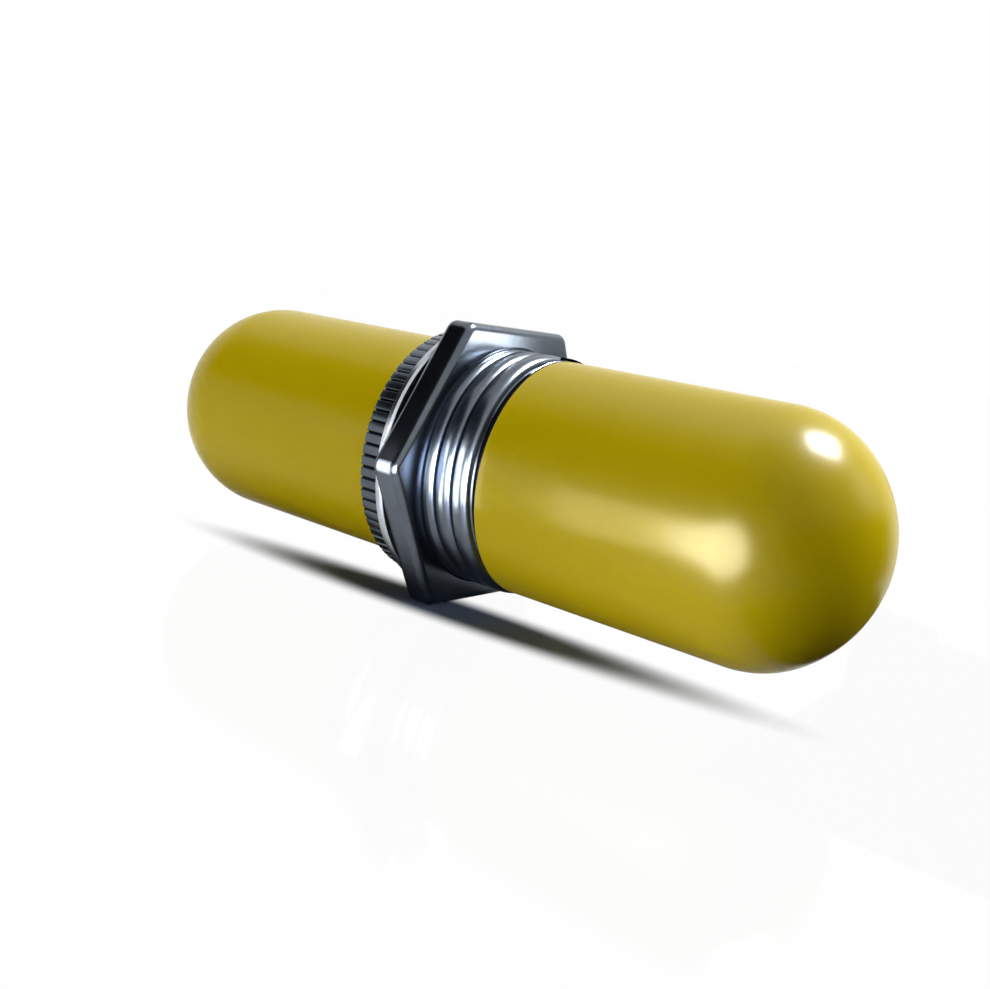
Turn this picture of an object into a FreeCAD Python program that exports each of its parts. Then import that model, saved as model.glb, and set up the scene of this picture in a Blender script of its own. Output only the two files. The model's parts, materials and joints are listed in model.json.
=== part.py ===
import FreeCAD, Part
import math
import os

from FreeCAD import Placement, Rotation, Vector

# A keyed bayonet fibre optic adapter for mounting in a panel hole, with its nut,
# lock washer and two dust caps. Sizes are in millimetres. The adapter's axis is +X,
# the threaded end points to +X, and +Z is up. The origin is on the axis, in the
# face of the knurled flange that seats against the panel.

# Panel thread, 32 turns to the inch
thread_radius = 4.725
thread_pitch = 25.4 / 32
thread_end = 4.07
thread_undercut = 0.55
thread_phase_deg = -44.0
thread_chamfer = 0.12
ridge_share = 0.75
ridge_sink = 0.05

# Knurled flange
flange_radius = 5.09
flange_width = 1.06
knurl_count = 72
knurl_depth = 0.17
knurl_groove_width = 0.17

# Barrels that take the plugs, one at each end
barrel_radius = 3.50
barrel_reach = 10.3
rear_barrel_reach = 11.1
barrel_edge = 0.25
collar_radius = 4.11
collar_edge = 0.15
front_collar = 0.90
rear_collar = 1.70
socket_radius = 2.55
socket_depth = 5.6
socket_lead = 0.15
key_slot_width = 1.05
key_slot_depth = 4.4
stud_radius = 0.65
stud_setback = 3.4
stud_reach = 4.05
stud_crown = 0.12

# Sleeve and the two holders that trap it
sleeve_bore_radius = 1.25
sleeve_wall = 0.35
sleeve_length = 11.4
sleeve_slit = 0.45
sleeve_edge = 0.08
sleeve_play = 0.08
holder_wall = 1.10
holder_entry_radius = 1.43
holder_funnel = 0.75

# Spigot of the rear body, pressed into the front body
spigot_radius = 3.30
spigot_length = 3.1
spigot_lead = 0.20

# Hex nut
nut_rim = 0.72
nut_gap = 0.23
nut_thickness = 1.20
nut_corner_round = 0.50
nut_edge_round = 0.30
nut_countersink = 0.22
nut_bore_sink = 0.05
nut_radial_clearance = 0.08
nut_flank_clearance = 0.05

# Lock washer with internal teeth
washer_width = 0.635
washer_thickness = 0.33
washer_edge = 0.08
washer_tooth_count = 16
washer_tooth_gap = 0.55
washer_tooth_depth = 0.30
washer_gap = 0.01
washer_bore_clearance = 0.10

# Dust caps
cap_radius = 4.625
cap_wall = 0.465
cap_front_straight = 9.15
cap_rear_straight = 10.13
cap_dome = 4.20
cap_shoulder_round = 3.80
cap_gap = 0.05
cap_lip_edge = 0.12
cap_shoulder_steps = 3
cap_crown_steps = 4

# Values that follow from the ones above
front_mouth = thread_end + barrel_reach
rear_mouth = -flange_width - rear_barrel_reach
front_web = front_mouth - socket_depth
rear_web = rear_mouth + socket_depth
sleeve_middle = (front_mouth + rear_mouth) / 2
sleeve_radius = sleeve_bore_radius + sleeve_wall
pocket_radius = sleeve_radius + sleeve_play
holder_radius = pocket_radius + holder_wall
washer_back = washer_gap
washer_front = washer_back + washer_thickness
nut_back = washer_front + nut_gap
nut_front = nut_back + nut_thickness
core_radius = thread_radius - 0.5413 * thread_pitch
nut_bore_radius = core_radius + nut_radial_clearance
nut_thread_radius = thread_radius + nut_radial_clearance
nut_across_flats = 2 * (nut_thread_radius + nut_rim)
washer_bore = thread_radius + washer_bore_clearance
washer_radius = washer_bore + washer_width

AXIS = Vector(1, 0, 0)
ORIGIN = Vector(0, 0, 0)
THREAD_FLANK = math.tan(math.radians(30))


def turned(outline):
    """One solid turned about the X axis from its outline of (x, radius) points."""
    points = [Vector(x, r, 0) for x, r in outline]
    face = Part.Face(Part.makePolygon(points + points[:1]))
    return face.revolve(ORIGIN, AXIS, 360)


def disc(radius, start, end):
    """A plain cylinder on the X axis between two stations."""
    return Part.makeCylinder(radius, end - start, Vector(start, 0, 0), AXIS)


def helical_bar(inner_radius, outer_radius, inner_width, start, end):
    """A 60 degree thread section swept along the adapter's right-hand helix.

    The section's middle passes the +Z side of the axis at multiples of the pitch,
    turned by the phase, so every thread made here is in step with the others.
    """
    turns_back = math.ceil((0 - start) / thread_pitch) + 1
    first = -turns_back * thread_pitch
    height = end - first + thread_pitch
    helix = Part.makeLongHelix(thread_pitch, height, inner_radius)
    outer_width = inner_width - 2 * (outer_radius - inner_radius) * THREAD_FLANK
    section = Part.makePolygon([
        Vector(inner_radius, 0, -inner_width / 2),
        Vector(outer_radius, 0, -outer_width / 2),
        Vector(outer_radius, 0, outer_width / 2),
        Vector(inner_radius, 0, inner_width / 2),
        Vector(inner_radius, 0, -inner_width / 2)])
    bar = Part.Wire(helix.Edges).makePipeShell([section], True, True)
    bar.Placement = Placement(Vector(first, 0, 0), Rotation(Vector(0, 1, 0), 90))
    bar.rotate(ORIGIN, AXIS, thread_phase_deg + 180)
    return bar


def panel_thread():
    """The threaded barrel's outside: a core with the ridge wound round it."""
    start = 0
    ridge_width = ridge_share * thread_pitch + 2 * ridge_sink * THREAD_FLANK
    ridge = helical_bar(core_radius - ridge_sink, thread_radius, ridge_width,
                        thread_undercut - thread_pitch, thread_end + thread_pitch)
    core = disc(core_radius, start, thread_end)
    runout = thread_radius - core_radius
    envelope = turned([
        (start, 0), (start, core_radius), (thread_undercut, core_radius),
        (thread_undercut + runout, thread_radius),
        (thread_end - thread_chamfer, thread_radius),
        (thread_end, thread_radius - thread_chamfer), (thread_end, 0)])
    return core.fuse(ridge.common(envelope)).removeSplitter()


def knurled_flange():
    """A straight knurl: flat-topped teeth with narrow V grooves between them."""
    pitch = 2 * math.pi / knurl_count
    half_groove = knurl_groove_width / 2 / flange_radius
    points = []
    for k in range(knurl_count):
        groove = k * pitch
        for angle, radius in ((groove, flange_radius - knurl_depth),
                              (groove + half_groove, flange_radius),
                              (groove + pitch - half_groove, flange_radius)):
            points.append(Vector(0, radius * math.cos(angle), radius * math.sin(angle)))
    face = Part.Face(Part.makePolygon(points + points[:1]))
    return face.extrude(Vector(-flange_width, 0, 0))


def barrel(mouth, root, collar_end, inside):
    """A plug barrel's outside: a collar for the cap, then the barrel to its mouth."""
    away = 1 if mouth > root else -1
    return turned([
        (root, inside), (root, collar_radius),
        (collar_end - away * collar_edge, collar_radius),
        (collar_end, collar_radius - collar_edge),
        (collar_end, barrel_radius), (mouth - away * barrel_edge, barrel_radius),
        (mouth, barrel_radius - barrel_edge), (mouth, inside)])


def key_slot(mouth):
    """The keyway that keeps a plug from turning, open at the mouth, on the +Z side."""
    away = 1 if mouth > 0 else -1
    inner_end = mouth - away * key_slot_depth
    end_radius = key_slot_width / 2
    round_middle = inner_end + away * end_radius
    start, end = sorted((round_middle, mouth + away))
    depth = collar_radius
    slot = Part.makeBox(end - start, key_slot_width, depth,
                        Vector(start, -end_radius, 0))
    rounded = Part.makeCylinder(end_radius, depth, Vector(round_middle, 0, 0))
    return slot.fuse(rounded)


def stud_holes(mouth):
    away = 1 if mouth > 0 else -1
    x = mouth - away * stud_setback
    return Part.makeCylinder(stud_radius, 2 * collar_radius,
                             Vector(x, -collar_radius, 0), Vector(0, 1, 0))


def bayonet_studs(mouth):
    """The two studs pressed across the barrel, which lock a plug's nut."""
    away = 1 if mouth > 0 else -1
    x = mouth - away * stud_setback
    length = stud_reach - socket_radius
    studs = []
    for side in (-1, 1):
        outline = [(0, 0), (stud_radius, 0), (stud_radius, length - stud_crown),
                   (stud_radius - stud_crown, length), (0, length)]
        points = [Vector(x + r, side * (socket_radius + h), 0) for r, h in outline]
        face = Part.Face(Part.makePolygon(points + points[:1]))
        stud = face.revolve(Vector(x, 0, 0), Vector(0, 1, 0), 360)
        studs.append(stud.cut(disc(socket_radius, x - 2 * stud_radius,
                                   x + 2 * stud_radius)))
    return Part.makeCompound(studs)


def socket(mouth, web):
    """What is bored from a mouth: the plug's socket with a lead-in at its edge."""
    away = 1 if mouth > 0 else -1
    lead = socket_lead
    return turned([
        (web, 0), (web, socket_radius), (mouth - away * lead, socket_radius),
        (mouth + away * lead, socket_radius + 2 * lead), (mouth + away * lead, 0)])


def front_body():
    outside = panel_thread().fuse(knurled_flange())
    outside = outside.fuse(barrel(front_mouth, thread_end,
                                  thread_end + front_collar, 0))
    body = outside.cut(socket(front_mouth, front_web))
    body = body.cut(disc(holder_radius, -flange_width - 1, front_web))
    body = body.cut(disc(spigot_radius, -flange_width - 1, spigot_length - flange_width))
    body = body.cut(key_slot(front_mouth))
    return body.cut(stud_holes(front_mouth)).removeSplitter()


def rear_body():
    root = -flange_width
    outside = barrel(rear_mouth, root, root - rear_collar, 0)
    spigot_end = root + spigot_length
    lead = spigot_lead
    spigot = turned([
        (root, 0), (root, spigot_radius), (spigot_end - lead, spigot_radius),
        (spigot_end, spigot_radius - lead), (spigot_end, 0)])
    body = outside.fuse(spigot).cut(socket(rear_mouth, rear_web))
    body = body.cut(disc(holder_radius, rear_web, spigot_end + 1))
    body = body.cut(key_slot(rear_mouth))
    return body.cut(stud_holes(rear_mouth)).removeSplitter()


def sleeve_holder(web):
    """A turned cup that traps one end of the sleeve, with a funnel for the ferrule."""
    away = 1 if web > sleeve_middle else -1
    pocket_end = sleeve_middle + away * (sleeve_length / 2 + sleeve_play)
    return turned([
        (sleeve_middle, pocket_radius), (sleeve_middle, holder_radius),
        (web, holder_radius), (web, holder_entry_radius + holder_funnel),
        (web - away * holder_funnel, holder_entry_radius),
        (pocket_end, holder_entry_radius), (pocket_end, pocket_radius)])


def alignment_sleeve():
    """The split sleeve that lines up two ferrules, slit along its +Z side."""
    start = sleeve_middle - sleeve_length / 2
    end = sleeve_middle + sleeve_length / 2
    edge = sleeve_edge
    tube = turned([
        (start, sleeve_bore_radius + edge), (start + edge, sleeve_bore_radius),
        (end - edge, sleeve_bore_radius), (end, sleeve_bore_radius + edge),
        (end, sleeve_radius - edge), (end - edge, sleeve_radius),
        (start + edge, sleeve_radius), (start, sleeve_radius - edge)])
    slit = Part.makeBox(sleeve_length + 2, sleeve_slit, sleeve_radius + 1,
                        Vector(start - 1, -sleeve_slit / 2, 0))
    return tube.cut(slit)


def hexagon(across_flats, start, thickness):
    """A six-sided prism with two flats level, top and bottom."""
    corner = across_flats / 2 / math.cos(math.radians(30))
    points = []
    for k in range(7):
        a = math.radians(60 * k)
        points.append(Vector(start, corner * math.cos(a), corner * math.sin(a)))
    return Part.Face(Part.makePolygon(points)).extrude(Vector(thickness, 0, 0))


def hex_nut():
    """A thin nut with softened corners and edges, threaded to suit the barrel."""
    blank = hexagon(nut_across_flats, nut_back, nut_thickness)
    corners = [e for e in blank.Edges if abs(e.BoundBox.XLength - nut_thickness) < 1e-6]
    blank = blank.makeFillet(nut_corner_round, corners)
    faces = [e for e in blank.Edges if e.BoundBox.XLength < 1e-6]
    blank = blank.makeFillet(nut_edge_round, faces)
    sink_radius = core_radius + nut_radial_clearance + nut_countersink * 2
    bore = turned([
        (nut_back - 1, 0), (nut_back - 1, nut_bore_radius),
        (nut_back, sink_radius), (nut_back + nut_countersink, nut_bore_radius),
        (nut_front - nut_countersink, nut_bore_radius),
        (nut_front, sink_radius), (nut_front + 1, nut_bore_radius),
        (nut_front + 1, 0)])
    inner = nut_bore_radius - nut_bore_sink
    ridge_width = ridge_share * thread_pitch - 2 * (inner - core_radius) * THREAD_FLANK
    groove = helical_bar(inner, nut_thread_radius,
                         ridge_width + 2 * nut_flank_clearance,
                         nut_back - 2 * thread_pitch, nut_front + thread_pitch)
    window = disc(thread_radius + 1, nut_back - 0.5, nut_front + 0.5)
    return blank.cut(bore).cut(groove.common(window))


def lock_washer():
    """A spring washer with a plain rim and flat teeth inside."""
    bore = washer_bore
    edge = washer_edge
    rim = turned([
        (washer_back, bore), (washer_back, washer_radius - edge),
        (washer_back + edge, washer_radius), (washer_front - edge, washer_radius),
        (washer_front, washer_radius - edge), (washer_front, bore)])
    step = 360 / washer_tooth_count
    gap = Part.makeBox(washer_thickness + 1, washer_tooth_gap,
                       washer_tooth_depth + bore,
                       Vector(washer_back - 0.5, -washer_tooth_gap / 2, 0))
    for k in range(washer_tooth_count):
        notch = gap.copy()
        notch.rotate(ORIGIN, AXIS, k * step)
        rim = rim.cut(notch)
    return rim


def dome_outline(shoulder, away, inset, shoulder_steps, crown_steps):
    """A cap's end in outline: a round shoulder that runs into a flatter crown.

    The two rounds are drawn in short straight steps, which lets soft parts stay light.
    """
    drop = cap_radius - cap_shoulder_round
    crown_round = ((cap_dome ** 2 + drop ** 2 - cap_shoulder_round ** 2)
                   / (2 * (cap_dome - cap_shoulder_round)))
    crown_offset = cap_dome - crown_round
    meeting = math.atan2(drop, -crown_offset)
    points = []
    for k in range(shoulder_steps):
        angle = math.pi / 2 + (meeting - math.pi / 2) * k / shoulder_steps
        reach = cap_shoulder_round - inset
        points.append((shoulder + away * reach * math.cos(angle),
                       drop + reach * math.sin(angle)))
    for k in range(crown_steps + 1):
        angle = meeting * (1 - k / crown_steps)
        reach = crown_round - inset
        points.append((shoulder + away * (crown_offset + reach * math.cos(angle)),
                       reach * math.sin(angle)))
    return points


def dust_cap(rim, away, straight):
    """A thin moulded cap: a straight skirt, a domed end and a softened lip."""
    shoulder = rim + away * straight
    inner = cap_radius - cap_wall
    lip = [(rim, inner), (rim, cap_radius - cap_lip_edge),
           (rim + away * cap_lip_edge, cap_radius)]
    outside = dome_outline(shoulder, away, 0, cap_shoulder_steps, cap_crown_steps)
    inside = dome_outline(shoulder, away, cap_wall, 1, 2)
    return turned(lip + outside + inside[::-1])


def build():
    return {
        "front_body": front_body(),
        "rear_body": rear_body(),
        "front_bayonet_studs": bayonet_studs(front_mouth),
        "rear_bayonet_studs": bayonet_studs(rear_mouth),
        "front_sleeve_holder": sleeve_holder(front_web),
        "rear_sleeve_holder": sleeve_holder(rear_web),
        "alignment_sleeve": alignment_sleeve(),
        "lock_washer": lock_washer(),
        "hex_nut": hex_nut(),
        "front_dust_cap": dust_cap(thread_end + cap_gap, 1, cap_front_straight),
        "rear_dust_cap": dust_cap(-flange_width - cap_gap, -1, cap_rear_straight),
    }


os.makedirs("parts", exist_ok=True)
for name, shape in build().items():
    shape.exportStep("parts/" + name + ".step")
    print(name, "solids", len(shape.Solids), "valid", shape.isValid(),
          "volume %.3f mm3" % shape.Volume)
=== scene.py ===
# %% [markdown]
# # A fibre optic adapter with two yellow caps
#
# The adapter is a small turned metal coupler, about 33 mm long, that two fibre plugs meet in.
# It is shown as it is sold: a nut and a lock washer on its thread and a soft vinyl cap on each
# end. The measured model is loaded first as a fixed frame. Everything after that is dressing:
# a camera, a pale table, soft light and the finish of every surface.

# %% Load the frame
import json
import math

import bmesh
import bpy
from mathutils import Matrix, Vector


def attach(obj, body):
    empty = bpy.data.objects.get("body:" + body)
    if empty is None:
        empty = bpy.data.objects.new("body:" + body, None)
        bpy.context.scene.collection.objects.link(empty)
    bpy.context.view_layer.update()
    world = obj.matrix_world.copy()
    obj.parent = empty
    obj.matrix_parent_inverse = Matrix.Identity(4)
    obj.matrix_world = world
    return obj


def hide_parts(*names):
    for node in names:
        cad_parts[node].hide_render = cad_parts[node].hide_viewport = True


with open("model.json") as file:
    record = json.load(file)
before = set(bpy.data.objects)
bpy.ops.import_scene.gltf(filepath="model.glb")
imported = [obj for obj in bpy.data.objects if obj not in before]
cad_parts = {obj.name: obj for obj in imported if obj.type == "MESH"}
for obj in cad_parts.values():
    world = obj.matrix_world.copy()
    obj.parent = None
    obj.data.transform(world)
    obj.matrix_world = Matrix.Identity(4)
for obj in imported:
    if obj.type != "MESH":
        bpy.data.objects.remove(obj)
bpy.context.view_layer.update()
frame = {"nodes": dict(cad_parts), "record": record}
nodes = frame["nodes"]
MM = 0.001

# %% [markdown]
# ## The camera
#
# The photograph is taken from very near, so the front cap looks much larger than the rear one.
# A camera is only three things: where it stands, which way it looks, and how long its lens is.
# The look direction is given as a turn and a tilt, as on a tripod, and the picture is also
# rolled a little, which is why the adapter seems to slope down to the right.

# %% Camera
CAMERA_PLACE = Vector((26.89, -34.579, 6.167)) * MM
CAMERA_TURN = math.radians(36.069)
CAMERA_TILT = math.radians(-9.738)
CAMERA_ROLL = math.radians(9.041)
LENS_MM = 38.93
SENSOR_MM = 36.0
NEAREST_SEEN = 1 * MM
FARTHEST_SEEN = 10.0


def add_camera():
    """A camera that looks level along +Y, then is rolled, tilted and turned into place."""
    camera_data = bpy.data.cameras.new("photo_camera")
    camera_data.lens = LENS_MM
    camera_data.sensor_width = SENSOR_MM
    camera_data.clip_start = NEAREST_SEEN
    camera_data.clip_end = FARTHEST_SEEN
    camera = bpy.data.objects.new("photo_camera", camera_data)
    bpy.context.scene.collection.objects.link(camera)
    level = Matrix.Rotation(math.pi / 2, 4, "X")
    aim = (Matrix.Rotation(CAMERA_TURN, 4, "Z")
           @ Matrix.Rotation(CAMERA_TILT, 4, "X")
           @ level
           @ Matrix.Rotation(CAMERA_ROLL, 4, "Z"))
    camera.matrix_world = Matrix.Translation(CAMERA_PLACE) @ aim
    bpy.context.scene.camera = camera
    return camera


camera = add_camera()
print("camera", [round(v / MM, 2) for v in camera.location], "mm, lens", LENS_MM)

# %% [markdown]
# ## Turned pieces
#
# Nearly everything here is round about one axis, so the caps are made with a lathe helper: it
# takes an outline of stations along the axis with their radii, and spins it right round the
# X axis. The last step of the spin is joined to the first, the seam is merged, and the faces
# are turned outwards. A corner that should look soft is rounded in the outline itself, with a
# few short steps, so the reflections run smoothly over it. A second helper turns any finished
# mesh into a piece that rides on its body, and shades it smooth except across sharp edges.

# %% Lathe helper
AXIS = Vector((1, 0, 0))
ORIGIN = Vector((0, 0, 0))
MERGE_DISTANCE = 1e-7


def merge_and_face_out(mesh_work):
    """Closes the seam of a spun or pulled shape and points its faces outwards."""
    bmesh.ops.remove_doubles(mesh_work, verts=mesh_work.verts, dist=MERGE_DISTANCE)
    bmesh.ops.recalc_face_normals(mesh_work, faces=mesh_work.faces)


def lathe(outline, steps):
    """A bmesh spun about the X axis from a closed outline of (station, radius) points in mm."""
    mesh_work = bmesh.new()
    points = [mesh_work.verts.new((x * MM, 0, r * MM)) for x, r in outline]
    edges = [mesh_work.edges.new(pair) for pair in zip(points, points[1:] + points[:1])]
    bmesh.ops.spin(mesh_work, geom=points + edges, cent=ORIGIN, axis=AXIS, dvec=ORIGIN,
                   angle=2 * math.pi, steps=steps, use_merge=True)
    merge_and_face_out(mesh_work)
    return mesh_work


def finish_piece(mesh_work, name, body, sharp_deg, replaced=None):
    """Turns a bmesh into a named piece that rides on its body, shaded smooth except across sharp
    edges.
    """
    mesh = bpy.data.meshes.new(name)
    mesh_work.normal_update()
    for face in mesh_work.faces:
        face.smooth = True
    limit = math.radians(sharp_deg)
    for edge in mesh_work.edges:
        if len(edge.link_faces) == 2:
            edge.smooth = edge.calc_face_angle(0) < limit
    mesh_work.to_mesh(mesh)
    mesh_work.free()
    piece = bpy.data.objects.new(name, mesh)
    bpy.context.scene.collection.objects.link(piece)
    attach(piece, body)
    if replaced:
        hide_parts(replaced)
    print(name, len(mesh.vertices), "points,", len(mesh.polygons), "faces")
    return piece


def arc(middle, radius, start_deg, end_deg, steps):
    """Points along a round corner, as (station, radius) pairs in millimetres."""
    turn = [math.radians(start_deg + (end_deg - start_deg) * k / steps)
            for k in range(steps + 1)]
    return [(middle[0] + radius * math.cos(a), middle[1] + radius * math.sin(a))
            for a in turn]


# %% [markdown]
# ## The two dust caps
#
# The caps are dipped in soft vinyl over a round-nosed rod, so they have one wall thickness all
# over, a round shoulder that runs into a slightly flatter crown, and a soft lip where they were
# trimmed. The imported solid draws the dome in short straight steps. Here the same outline gets
# its true arcs, so the long highlight on the cap is smooth, and the piece replaces the solid.

# %% Dust caps
CAP_RADIUS = 4.625
CAP_WALL = 0.465
CAP_DOME = 4.20
CAP_SHOULDER_ROUND = 3.80
CAP_LIP_ROUND = 0.12
FRONT_RIM, FRONT_STRAIGHT = 4.12, 9.15
REAR_RIM, REAR_STRAIGHT = -1.11, 10.13
TURN_STEPS_OF_CAP = 160
LIP_STEPS = 6
SKIRT_STEPS = 24
DOME_STEPS = 20
INNER_DOME_STEPS = 10
CAP_SHARP_DEG = 40


def dome_points(shoulder, away, inset, steps):
    """The cap's end from its shoulder to its tip: a round shoulder, then a flatter crown."""
    drop = CAP_RADIUS - CAP_SHOULDER_ROUND
    crown = ((CAP_DOME ** 2 + drop ** 2 - CAP_SHOULDER_ROUND ** 2)
             / (2 * (CAP_DOME - CAP_SHOULDER_ROUND)))
    crown_middle = CAP_DOME - crown
    meeting = math.degrees(math.atan2(drop, -crown_middle))
    shoulder_arc = arc((0, drop), CAP_SHOULDER_ROUND - inset, 90, meeting, steps)
    crown_arc = arc((crown_middle, 0), crown - inset, meeting, 0, steps)
    return [(shoulder + away * x, max(r, 0.0)) for x, r in shoulder_arc + crown_arc[1:]]


def dust_cap(name, rim, away, straight, node):
    """A domed cap of even wall with a rounded lip, open towards the adapter."""
    shoulder = rim + away * straight
    inner = CAP_RADIUS - CAP_WALL
    lip = [(rim + away * (CAP_LIP_ROUND - x), r) for x, r in
           arc((0, CAP_RADIUS - CAP_LIP_ROUND), CAP_LIP_ROUND, 0, 90, LIP_STEPS)]
    skirt = [(rim + away * straight * k / SKIRT_STEPS, CAP_RADIUS)
             for k in range(1, SKIRT_STEPS)]
    outside = dome_points(shoulder, away, 0, DOME_STEPS)
    inside = dome_points(shoulder, away, CAP_WALL, INNER_DOME_STEPS)[::-1]
    outline = [(rim, inner)] + lip + skirt + outside + inside
    return finish_piece(lathe(outline, TURN_STEPS_OF_CAP), name, node,
                        CAP_SHARP_DEG, replaced=node)


front_cap = dust_cap("front_cap_skin", FRONT_RIM, 1, FRONT_STRAIGHT, "front_dust_cap")
rear_cap = dust_cap("rear_cap_skin", REAR_RIM, -1, REAR_STRAIGHT, "rear_dust_cap")

# %% [markdown]
# ## The panel thread
#
# The thread is cut with 32 turns to the inch. In the photograph its ridges look broad and round,
# with a bright line along each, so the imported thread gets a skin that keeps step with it: the
# same pitch and the same crest, but a wide top rounded on one side and a shallower groove. The
# outline of one ridge, from groove to groove, is spun while it moves one pitch along the axis
# for each turn. Every turn then meets the next, and two cuts square to the axis trim the ends.

# %% Thread skin
PITCH = 25.4 / 32
THREAD_RADIUS = 4.725
CORE_RADIUS = THREAD_RADIUS - 0.5413 * PITCH
THREAD_ENDS = (0.56, 4.075)
THREAD_START_DEG = 44
THREAD_PHASE = THREAD_START_DEG / 360 * PITCH
THREAD_TURNS = 6
TURN_STEPS = 96
SKIN = 0.012
GROOVE_FILL = 0.1
GROOVE_ROUND = 0.02
CREST_ROUND = 0.36
CREST_MIDDLE = 0.02
CUT_DISTANCE = 1e-8
THREAD_SHARP_DEG = 40


def ridge_outline():
    """One ridge from groove to groove: a wide crest, rounded to the side that shows."""
    root, crest = CORE_RADIUS + GROOVE_FILL, THREAD_RADIUS + SKIN
    near = [(-PITCH / 2, root), (-0.345, root + GROOVE_ROUND), (-0.30, crest - 0.06),
            (-0.27, crest - 0.012), (-0.24, crest)]
    far = arc((CREST_MIDDLE, crest - CREST_ROUND), CREST_ROUND, 88, 36, 8)
    return near + far + [(0.33, root + GROOVE_ROUND), (PITCH / 2, root)]


def panel_thread():
    """The ridge wound along the axis, cut square at both ends and closed there."""
    thread_work = bmesh.new()
    first = THREAD_PHASE - PITCH
    points = [thread_work.verts.new(((x + first) * MM, 0, r * MM)) for x, r in ridge_outline()]
    edges = [thread_work.edges.new(pair) for pair in zip(points, points[1:])]
    bmesh.ops.spin(thread_work, geom=points + edges, cent=ORIGIN, axis=AXIS,
                   dvec=AXIS * PITCH * MM / TURN_STEPS, angle=2 * math.pi * THREAD_TURNS,
                   steps=TURN_STEPS * THREAD_TURNS)
    merge_and_face_out(thread_work)
    for station, side in zip(THREAD_ENDS, (-1, 1)):
        everything = thread_work.verts[:] + thread_work.edges[:] + thread_work.faces[:]
        cut = bmesh.ops.bisect_plane(thread_work, geom=everything, dist=CUT_DISTANCE,
                                     plane_co=AXIS * station * MM, plane_no=AXIS * side,
                                     clear_outer=True)
        rim = [e for e in cut["geom_cut"] if isinstance(e, bmesh.types.BMEdge)]
        bmesh.ops.holes_fill(thread_work, edges=rim, sides=0)
    bmesh.ops.recalc_face_normals(thread_work, faces=thread_work.faces)
    return finish_piece(thread_work, "panel_thread_skin", "adapter",
                        THREAD_SHARP_DEG)


thread_skin = panel_thread()
print("thread from", THREAD_ENDS[0], "to", THREAD_ENDS[1], "mm, pitch", round(PITCH, 4))

# %% [markdown]
# ## The knurled flange
#
# The flange is rolled with a straight knurl: seventy-two teeth with V-shaped grooves. The
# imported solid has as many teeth, with sharp corners. This skin lies a hair over them: its
# outline is drawn tooth by tooth, pulled out to the flange's width, and its outer edges are then
# bevelled a little, because a knurl that is plated and handled has no sharp edge left.

# %% Knurled skin
FLANGE_RADIUS = 5.09
FLANGE_WIDTH = 1.06
KNURL_COUNT = 72
KNURL_DEPTH = 0.13
GROOVE_WIDTH = 0.12
KNURL_SOFTNESS = 0.016
FACE_LIFT = 0.004
RIM_TOLERANCE = 0.01
KNURL_SHARP_DEG = 30


def knurled_flange():
    """A grooved outline pulled to the flange's width, with the teeth's edges softened."""
    knurl_work = bmesh.new()
    step = 2 * math.pi / KNURL_COUNT
    half_groove = GROOVE_WIDTH / 2 / FLANGE_RADIUS
    rim = []
    for k in range(KNURL_COUNT):
        for turn, radius in ((0, FLANGE_RADIUS - KNURL_DEPTH), (half_groove, FLANGE_RADIUS),
                             (step - half_groove, FLANGE_RADIUS)):
            a = k * step + turn
            r = (radius + SKIN) * MM
            rim.append(knurl_work.verts.new((FACE_LIFT * MM, r * math.cos(a),
                                             r * math.sin(a))))
    face = knurl_work.faces.new(rim)
    pulled = bmesh.ops.extrude_face_region(knurl_work, geom=[face])
    moved = [v for v in pulled["geom"] if isinstance(v, bmesh.types.BMVert)]
    bmesh.ops.translate(knurl_work, verts=moved,
                        vec=AXIS * -(FLANGE_WIDTH + 2 * FACE_LIFT) * MM)
    tips = (FLANGE_RADIUS - RIM_TOLERANCE) * MM
    outer = [e for e in knurl_work.edges if min(v.co.yz.length for v in e.verts) > tips]
    bmesh.ops.bevel(knurl_work, geom=outer, offset=KNURL_SOFTNESS * MM, segments=2,
                    profile=0.5, affect="EDGES", material=-1, clamp_overlap=True)
    merge_and_face_out(knurl_work)
    return finish_piece(knurl_work, "knurled_flange_skin", "adapter",
                        KNURL_SHARP_DEG)


knurl_skin = knurled_flange()

# %% [markdown]
# ## Fine grain, shared by several finishes
#
# Very small unevenness is what tells the eye that a surface is real: moulded vinyl has a faint
# orange-peel skin and plated metal has fine turning marks. One node group makes a height for
# both, from noise at two scales, and each finish gives it its own size and strength.

# %% Grain group
NOISE_DETAIL = 3.0


def add_socket(group, name, way, kind, value=None):
    """Gives a shader node group one named input or output."""
    socket = group.interface.new_socket(name=name, in_out=way, socket_type=kind)
    if value is not None:
        socket.default_value = value
    return socket


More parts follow.
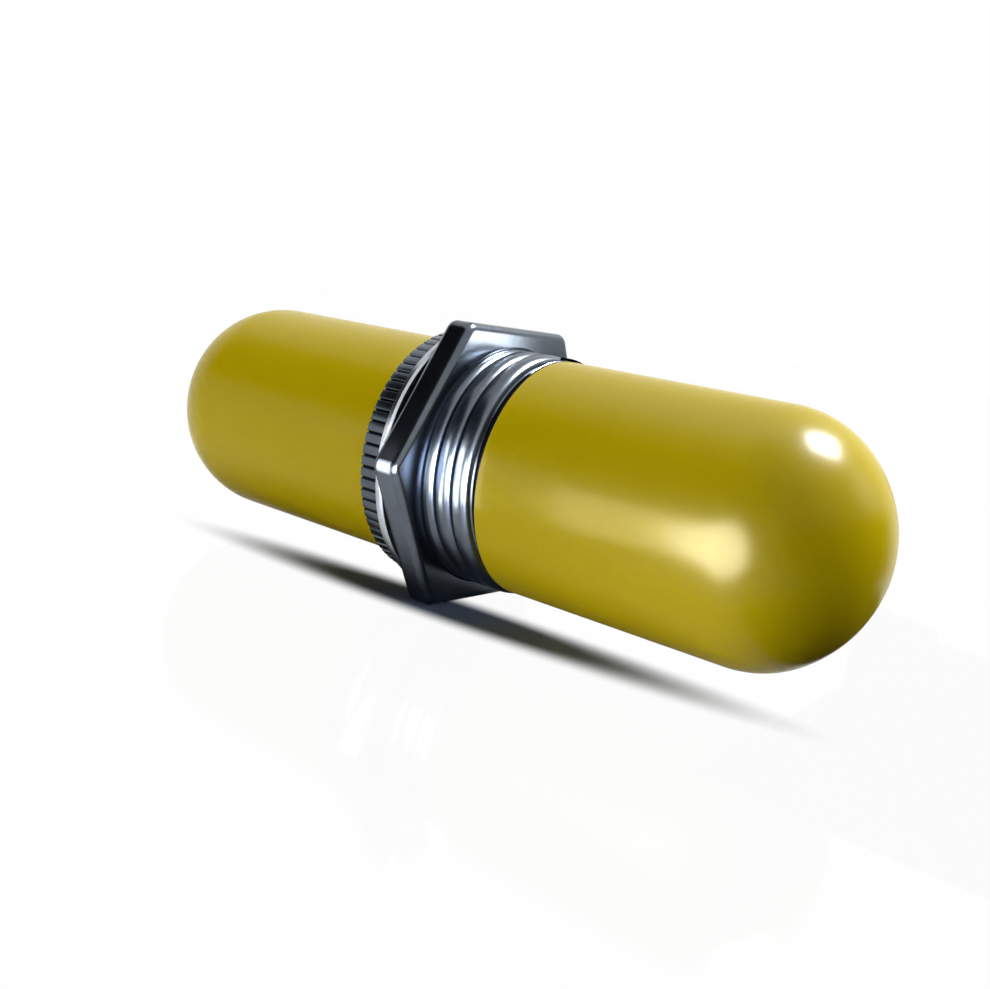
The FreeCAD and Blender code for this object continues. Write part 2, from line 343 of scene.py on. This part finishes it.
def build_grain_group():
    """Height from a coarse and a fine noise on object coordinates in metres."""
    group = bpy.data.node_groups.new("fine_grain", "ShaderNodeTree")
    add_socket(group, "Place", "INPUT", "NodeSocketVector")
    add_socket(group, "Coarse scale", "INPUT", "NodeSocketFloat", 600.0)
    add_socket(group, "Fine scale", "INPUT", "NodeSocketFloat", 4000.0)
    add_socket(group, "Fine share", "INPUT", "NodeSocketFloat", 0.4)
    add_socket(group, "Height", "OUTPUT", "NodeSocketFloat")
    start = group.nodes.new("NodeGroupInput")
    end = group.nodes.new("NodeGroupOutput")
    coarse = group.nodes.new("ShaderNodeTexNoise")
    fine = group.nodes.new("ShaderNodeTexNoise")
    for noise, socket in ((coarse, "Coarse scale"), (fine, "Fine scale")):
        noise.inputs["Detail"].default_value = NOISE_DETAIL
        group.links.new(start.outputs["Place"], noise.inputs["Vector"])
        group.links.new(start.outputs[socket], noise.inputs["Scale"])
    mix = group.nodes.new("ShaderNodeMix")
    group.links.new(start.outputs["Fine share"], mix.inputs["Factor"])
    group.links.new(coarse.outputs["Fac"], mix.inputs["A"])
    group.links.new(fine.outputs["Fac"], mix.inputs["B"])
    group.links.new(mix.outputs["Result"], end.inputs["Height"])
    return group


grain_group = build_grain_group()
print("grain group inputs:", [s.name for s in grain_group.interface.items_tree])

# %% [markdown]
# ## Steps that every finish shares
#
# A real finish is never one flat colour: its tone and its gloss both change a little with the
# grain. So each material here starts the same way. It gets the shared grain as a bump, and the
# same height then drives a ramp between two near colours and a small range of roughness.

# %% Material helpers
TONE_START, TONE_END = 0.35, 0.65


def new_material(name):
    """A node material with its Principled shader and an object coordinate, ready to link."""
    material = bpy.data.materials.new(name)
    material.use_nodes = True
    tree = material.node_tree
    shader = tree.nodes["Principled BSDF"]
    place = tree.nodes.new("ShaderNodeTexCoord")
    return material, tree, shader, place.outputs["Object"]


def add_grain(tree, shader, place, coarse, fine, share, strength, distance):
    """Links the grain group through a bump to a material's normal."""
    grain = tree.nodes.new("ShaderNodeGroup")
    grain.node_tree = grain_group
    grain.inputs["Coarse scale"].default_value = coarse
    grain.inputs["Fine scale"].default_value = fine
    grain.inputs["Fine share"].default_value = share
    tree.links.new(place, grain.inputs["Place"])
    bump = tree.nodes.new("ShaderNodeBump")
    bump.inputs["Strength"].default_value = strength
    bump.inputs["Distance"].default_value = distance
    tree.links.new(grain.outputs["Height"], bump.inputs["Height"])
    tree.links.new(bump.outputs["Normal"], shader.inputs["Normal"])
    return grain.outputs["Height"]


def shade_between(tree, factor, low, high):
    """A colour that runs from low to high over the middle of a mask's range."""
    ramp = tree.nodes.new("ShaderNodeValToRGB")
    ramp.color_ramp.elements[0].position = TONE_START
    ramp.color_ramp.elements[0].color = (*low, 1)
    ramp.color_ramp.elements[1].position = TONE_END
    ramp.color_ramp.elements[1].color = (*high, 1)
    tree.links.new(factor, ramp.inputs["Fac"])
    return ramp.outputs["Color"]


def map_range(tree, factor, low, high):
    """Stretches a mask of 0 to 1 onto the numbers low to high."""
    node = tree.nodes.new("ShaderNodeMapRange")
    node.inputs["To Min"].default_value = low
    node.inputs["To Max"].default_value = high
    tree.links.new(factor, node.inputs["Value"])
    return node.outputs["Result"]


# %% [markdown]
# ## Yellow vinyl
#
# The caps are a dense mustard yellow that hardly varies, with a satin skin. The skin is drawn
# as a smooth plastic whose roughness changes slightly, over a very fine grain. Its mirror share
# is set low, because the photograph shows hardly any white haze over the yellow.

# %% Yellow vinyl
VINYL_LIGHT = (0.405, 0.307, 0.0004)
VINYL_DARK = (0.395, 0.298, 0.0004)
VINYL_ROUGHNESS = (0.22, 0.28)
VINYL_IOR = 1.5
VINYL_MIRROR_SHARE = 0.11
BUMP_DISTANCE = 0.02 * MM


def yellow_vinyl():
    material, tree, shader, place = new_material("yellow_vinyl")
    height = add_grain(tree, shader, place, coarse=700, fine=5200, share=0.5, strength=0.12,
                       distance=BUMP_DISTANCE)
    tree.links.new(shade_between(tree, height, VINYL_DARK, VINYL_LIGHT),
                   shader.inputs["Base Color"])
    tree.links.new(map_range(tree, height, *VINYL_ROUGHNESS), shader.inputs["Roughness"])
    shader.inputs["IOR"].default_value = VINYL_IOR
    shader.inputs["Specular IOR Level"].default_value = VINYL_MIRROR_SHARE
    return material


vinyl = yellow_vinyl()
for cap in (front_cap, rear_cap):
    cap.data.materials.append(vinyl)

# %% [markdown]
# ## Plated metal
#
# The body and nut are plated and polished, and in the photograph they look dark. Such metal is
# nearly a mirror: most of what is seen on it is the room. Its own part is a deep, slightly blue
# grey and a roughness that changes from place to place, which smears the reflections a little.
# The washer has a paler plating, the studs are steel, and brass and bronze lie under the caps.

# %% Plated metals
def plated_metal(name, dark, light, roughness):
    """A polished metal whose colour and gloss vary with fine turning marks."""
    material, tree, shader, place = new_material(name)
    height = add_grain(tree, shader, place, coarse=420, fine=3600, share=0.35, strength=0.06,
                       distance=BUMP_DISTANCE)
    tree.links.new(shade_between(tree, height, dark, light), shader.inputs["Base Color"])
    tree.links.new(map_range(tree, height, *roughness), shader.inputs["Roughness"])
    shader.inputs["Metallic"].default_value = 1.0
    return material


METAL_LOOKS = {
    "plated_body": ((0.095, 0.11, 0.13), (0.125, 0.145, 0.17), (0.22, 0.30)),
    "plated_nut": ((0.09, 0.105, 0.125), (0.12, 0.14, 0.165), (0.18, 0.23)),
    "plated_washer": ((0.42, 0.45, 0.48), (0.50, 0.53, 0.56), (0.20, 0.28)),
    "steel_stud": ((0.40, 0.41, 0.42), (0.46, 0.47, 0.48), (0.16, 0.22)),
    "bare_brass": ((0.66, 0.46, 0.18), (0.74, 0.54, 0.23), (0.22, 0.30)),
    "bronze_sleeve": ((0.62, 0.36, 0.18), (0.72, 0.44, 0.24), (0.16, 0.24)),
}
FINISHES = {slot: plated_metal(slot, *look) for slot, look in METAL_LOOKS.items()}
SLOT_OF_NODE = {row["node"]: row["material_slot"] for row in frame["record"]["subparts"]}
for node_name, slot_name in SLOT_OF_NODE.items():
    if slot_name in FINISHES:
        nodes[node_name].data.materials.clear()
        nodes[node_name].data.materials.append(FINISHES[slot_name])
for skin in (thread_skin, knurl_skin):
    skin.data.materials.append(FINISHES["plated_body"])
print("finishes:", sorted(FINISHES))

# %% [markdown]
# ## The table
#
# The adapter rests with one flat of its nut on a plain white table. For the camera, and for
# what metal and clear things show of it, the table's white is its own glow. Two long ovals,
# one along each side of the adapter, hold the glow back. There a matt surface shows, which
# takes the real shadow and is also painted a dark blue grey, a painted shadow that looks as
# deep as in the photograph and fades out at its ends. In reflections a third oval paints the
# same dark shade right under the adapter, where a real table lies in its shade, so that no
# pale edge runs along the caps.
# The light that the table throws back is that of a white one everywhere. A faint gloss over
# everything gives the pale mirror image.

# %% Table masks
OVAL_TURN = math.radians(4.3)
OVAL_CORE = 0.35
# Ovals where the table's glow gives way to its matt, which takes the real shadow and is painted
# dark: painted shadow.
PAINTED_SHADOW_OVALS = (
    {"middle": (2.3, -2.62), "half_length": 16, "half_width": 2.15},
    {"middle": (-1.5, 4.2), "half_length": 12.5, "half_width": 2.0},
)
# In reflections only, this oval shows the table's matt painted dark under the adapter: painted
# shade over its real shade.
UNDERSIDE_PAINTED_SHADE = {"middle": (-1, -1.6), "half_length": 26, "half_width": 5.0}


def combine(tree, operation, first, second):
    """One Math node that joins two values."""
    node = tree.nodes.new("ShaderNodeMath")
    node.operation = operation
    tree.links.new(first, node.inputs[0])
    tree.links.new(second, node.inputs[1])
    return node.outputs[0]


def seen_directly(tree):
    """A mask that is 1 for camera, glossy and transmission rays and 0 for all others."""
    path = tree.nodes.new("ShaderNodeLightPath")
    total = path.outputs["Is Camera Ray"]
    for kind in ("Is Glossy Ray", "Is Transmission Ray"):
        total = combine(tree, "MAXIMUM", total, path.outputs[kind])
    return total


def outside_oval(tree, place, middle, half_length, half_width):
    """A mask that is 0 in the middle of an oval and rises to 1 at its rim."""
    oval = tree.nodes.new("ShaderNodeMapping")
    oval.vector_type = "TEXTURE"
    oval.inputs["Location"].default_value = (middle[0] * MM, middle[1] * MM, 0)
    oval.inputs["Rotation"].default_value = (0, 0, OVAL_TURN)
    oval.inputs["Scale"].default_value = (half_length * MM, half_width * MM, 1)
    tree.links.new(place, oval.inputs["Vector"])
    distance = tree.nodes.new("ShaderNodeVectorMath")
    distance.operation = "LENGTH"
    tree.links.new(oval.outputs["Vector"], distance.inputs[0])
    fade = tree.nodes.new("ShaderNodeMapRange")
    fade.interpolation_type = "SMOOTHSTEP"
    fade.inputs["From Min"].default_value = OVAL_CORE
    tree.links.new(distance.outputs["Value"], fade.inputs["Value"])
    return fade.outputs["Result"]


def share_of_glow(tree, seen):
    """Where the table glows: as far as it is seen, but not in the ovals of painted shadow."""
    place = tree.nodes.new("ShaderNodeTexCoord").outputs["Object"]
    share = seen
    for shadow_oval in PAINTED_SHADOW_OVALS:
        share = combine(tree, "MULTIPLY", share, outside_oval(tree, place, **shadow_oval))
    camera_ray = tree.nodes.new("ShaderNodeLightPath").outputs["Is Camera Ray"]
    # Reflections, but not the camera, see the painted shade under the adapter.
    under = combine(tree, "MAXIMUM", outside_oval(tree, place, **UNDERSIDE_PAINTED_SHADE), camera_ray)
    return combine(tree, "MULTIPLY", share, under)


# %% [markdown]
# ## The table's own surface
#
# The table is two surfaces in one, and the masks above say where each shows: an even white glow
# and a matt paint, white for scattered light and painted a shadow's dark grey where it shows.
# A third one, a thin gloss, lies over both. A plain rectangle far larger than the picture
# carries them, so that no edge comes near the adapter. The same rectangle helper makes the
# black cards later.

# %% Table
TABLE_HEIGHT = -5.525 * MM
TABLE_SIZE = 3.0
TABLE_GLOW = 1.0
TABLE_MATT = (0.92, 0.92, 0.92, 1)
# Painted shadow: where the camera or a reflection sees the matt, it is this dark blue grey; it
# also takes the real shadow.
PAINTED_SHADOW_MATT = (0.14, 0.17, 0.23, 1)
TABLE_SHEEN = 0.035
SHEEN_ROUGHNESS = 0.08


def blend_shaders(tree, factor, first, second):
    """Shows the second surface as far as the factor, a link or a number, says."""
    mix = tree.nodes.new("ShaderNodeMixShader")
    if isinstance(factor, float):
        mix.inputs["Fac"].default_value = factor
    else:
        tree.links.new(factor, mix.inputs["Fac"])
    tree.links.new(first.outputs[0], mix.inputs[1])
    tree.links.new(second.outputs[0], mix.inputs[2])
    return mix


def table_material():
    """White as seen, painted shadow dark in the ovals, and a white matt surface for all
    scattered light.
    """
    material = bpy.data.materials.new("white_table")
    material.use_nodes = True
    tree = material.node_tree
    tree.nodes.clear()
    seen = seen_directly(tree)
    # The matt is white for scattered light and painted a shadow's dark blue grey where it is
    # seen.
    tone = tree.nodes.new("ShaderNodeMix")
    tone.data_type = "RGBA"
    tone.inputs["A"].default_value = TABLE_MATT
    tone.inputs["B"].default_value = PAINTED_SHADOW_MATT
    tree.links.new(seen, tone.inputs["Factor"])
    matt = tree.nodes.new("ShaderNodeBsdfDiffuse")
    tree.links.new(tone.outputs["Result"], matt.inputs["Color"])
    glow = tree.nodes.new("ShaderNodeEmission")
    glow.inputs["Strength"].default_value = TABLE_GLOW
    sheen = tree.nodes.new("ShaderNodeBsdfGlossy")
    sheen.inputs["Roughness"].default_value = SHEEN_ROUGHNESS
    white = blend_shaders(tree, share_of_glow(tree, seen), matt, glow)
    whole = blend_shaders(tree, TABLE_SHEEN, white, sheen)
    output = tree.nodes.new("ShaderNodeOutputMaterial")
    tree.links.new(whole.outputs[0], output.inputs["Surface"])
    return material


def flat_board(name, width, height):
    """A plain rectangle, made flat on the XY plane and facing +Z."""
    board_work = bmesh.new()
    bmesh.ops.create_grid(board_work, x_segments=1, y_segments=1, size=0.5)
    bmesh.ops.scale(board_work, verts=board_work.verts, vec=(width, height, 1))
    mesh = bpy.data.meshes.new(name)
    board_work.to_mesh(mesh)
    board_work.free()
    board = bpy.data.objects.new(name, mesh)
    bpy.context.scene.collection.objects.link(board)
    return board


table = flat_board("table", TABLE_SIZE, TABLE_SIZE)
table.location.z = TABLE_HEIGHT
table.data.materials.append(table_material())
print("table at", round(TABLE_HEIGHT / MM, 3), "mm")

# %% [markdown]
# ## The room
#
# Around the table there is only even white. What the camera and the metal see of it is full
# white, and what it adds to the shading is weaker.

# %% Room
ROOM_FILL = 0.10
ROOM_WHITE = 1.0


def white_room():
    """An even white world that is weaker for scattered light than for what is seen of it."""
    world = bpy.data.worlds.new("white_room")
    bpy.context.scene.world = world
    world.use_nodes = True
    tree = world.node_tree
    strength = tree.nodes.new("ShaderNodeMapRange")
    strength.inputs["To Min"].default_value = ROOM_FILL
    strength.inputs["To Max"].default_value = ROOM_WHITE
    tree.links.new(seen_directly(tree), strength.inputs["Value"])
    tree.links.new(strength.outputs["Result"], tree.nodes["Background"].inputs["Strength"])
    tree.nodes["Background"].inputs["Color"].default_value = (1, 1, 1, 1)
    return world


room = white_room()
print("room:", room.name, "adds", ROOM_FILL, "to the shading")

# %% [markdown]
# ## Lamps and cards
#
# Each large lamp or card is a rectangle given by the direction it stands in, seen from the
# adapter: a compass turn from +X and a height above the horizon. A lamp's brightness is given
# as the white level that it would show, so that its size can change by itself. Every lamp has
# one role, to light the surfaces or to show as a reflection, because that sets the shading and
# the highlights apart. The camera sees neither lamps nor cards.

# %% Lamp and card helpers
ADAPTER_MIDDLE = Vector((4, 0, 0)) * MM
BLACK = (0.005, 0.005, 0.006, 1)


def stand(thing, turn_deg, height_deg, distance_mm, aim=ADAPTER_MIDDLE):
    """Puts a lamp or card in a direction and turns its face to the adapter."""
    turn, height = math.radians(turn_deg), math.radians(height_deg)
    out = Vector((math.cos(turn) * math.cos(height), math.sin(turn) * math.cos(height),
                  math.sin(height)))
    thing.location = aim + out * distance_mm * MM
    thing.rotation_euler = out.to_track_quat("Z", "Y").to_euler()


def soft_lamp(name, width_mm, height_mm, level, role):
    """A rectangular lamp for one role: "light" or "reflection"."""
    lamp_data = bpy.data.lights.new(name, "AREA")
    lamp_data.shape = "RECTANGLE"
    lamp_data.size = width_mm * MM
    lamp_data.size_y = height_mm * MM
    lamp_data.energy = level * math.pi * lamp_data.size * lamp_data.size_y
    lamp = bpy.data.objects.new(name, lamp_data)
    bpy.context.scene.collection.objects.link(lamp)
    lamp.visible_camera = False
    lamp.visible_diffuse = role == "light"
    lamp.visible_glossy = role == "reflection"
    return lamp


def black_card(name, width_mm, height_mm):
    """A card that takes light away without a shadow of its own."""
    card = flat_board(name, width_mm * MM, height_mm * MM)
    material = bpy.data.materials.new(name)
    material.use_nodes = True
    shader = material.node_tree.nodes["Principled BSDF"]
    shader.inputs["Base Color"].default_value = BLACK
    shader.inputs["Specular IOR Level"].default_value = 0.0
    card.data.materials.append(material)
    card.visible_camera = False
    card.visible_shadow = False
    return card


# %% [markdown]
# ## The large lamps
#
# A broad softbox above lights the top of the caps, and a weaker one in the same place gives the
# nut and the thread their sheen. A long fill beside the camera keeps the near side from going
# dark. A small, very bright softbox shows as the round highlight on the front dome.

# %% Large lamps
stand(soft_lamp("top_softbox", 170, 110, 6.6, "light"), 105, 66, 150)
stand(soft_lamp("top_shine", 170, 110, 1.9, "reflection"), 105, 66, 150)
stand(soft_lamp("front_fill", 220, 60, 6.3, "light"), -110, 2, 200)
stand(soft_lamp("small_softbox", 38, 46, 190, "reflection"), 53, 56, 150)

# %% [markdown]
# ## The small lamps close by
#
# The photograph has a broad highlight along the front cap, bright ends on the thread ridges and
# a lit face on the nut. Each is a small lamp just outside the picture that gives a reflection
# and nothing else, found by asking where a mirror in that spot would look. The lamp at the
# highlight's end is cool, because a white one looks yellower on the cap than in the photograph.

# %% Small lamps
FULL_SPREAD_DEG = 180


def show_lamp(name, width_mm, height_mm, level, place_mm, aim_mm, shape="RECTANGLE",
              spread_deg=FULL_SPREAD_DEG):
    """A small lamp that only gives a reflection, put at one point and aimed at another."""
    lamp = soft_lamp(name, width_mm, height_mm, level, "reflection")
    lamp.data.shape = shape
    lamp.data.spread = math.radians(spread_deg)
    out = Vector(place_mm) - Vector(aim_mm)
    lamp.location = Vector(place_mm) * MM
    lamp.rotation_euler = out.to_track_quat("Z", "Y").to_euler()
    return lamp


glow_lamp = show_lamp("glow_end", 9.4, 8.6, 37, (12.8, -13, -1.2), (14, -4.5, -0.2),
                      shape="ELLIPSE")
glow_lamp.data.color = (0.92, 0.98, 1.25)
show_lamp("glow_body", 8.6, 6, 14, (7.2, -13, -1.3), (11, -4.6, 0))
show_lamp("glow_tail", 4, 3.4, 3, (2.0, -13, -1.6), (8, -4.6, 0))
show_lamp("thread_light", 2.2, 6, 3.4, (-0.2, -8.2, -0.6), (3, -4.7, 0), spread_deg=80)
show_lamp("nut_light", 3.6, 3.4, 0.8, (9, 6.2, 5.2), (1.8, -2, 5.3), spread_deg=50)

# %% [markdown]
# ## The far side and the black cards
#
# A weak fill behind keeps the far side readable when the adapter is turned, and a stronger one
# near the front dome lights its upper right, as in the photograph. Black cards stand where the
# photograph's metal and vinyl go dark: above the camera, beside and below the front dome, and
# behind the nut.

# %% Fills behind and black cards
DOME_MIDDLE = Vector((17, 0, 1.2)) * MM
DOME_SIDE = Vector((16, 2, 0.4)) * MM
NUT_SIDE = Vector((1.8, 4.5, 0)) * MM

stand(soft_lamp("back_fill", 120, 60, 3, "light"), 62, 10, 150)
stand(soft_lamp("dome_fill", 9, 9, 29, "light"), 46, 32, 24, DOME_MIDDLE)
stand(black_card("upper_card", 250, 90), -115, 38, 120)
stand(black_card("side_card", 44, 12), 5, 0, 14, DOME_SIDE)
black_card("table_card", 19, 24).location = Vector((25, 4, -5.5)) * MM
stand(black_card("nut_card", 6, 9), 57, -2, 20, NUT_SIDE)

# %% [markdown]
# ## Colours as they are written
#
# The picture uses the plain Standard view, in which a colour comes out about as it is written.
# A filmic view would pull the white table down to grey and wash out the yellow.

# %% Picture settings
bpy.context.scene.view_settings.view_transform = "Standard"
print("view:", bpy.context.scene.view_settings.view_transform)
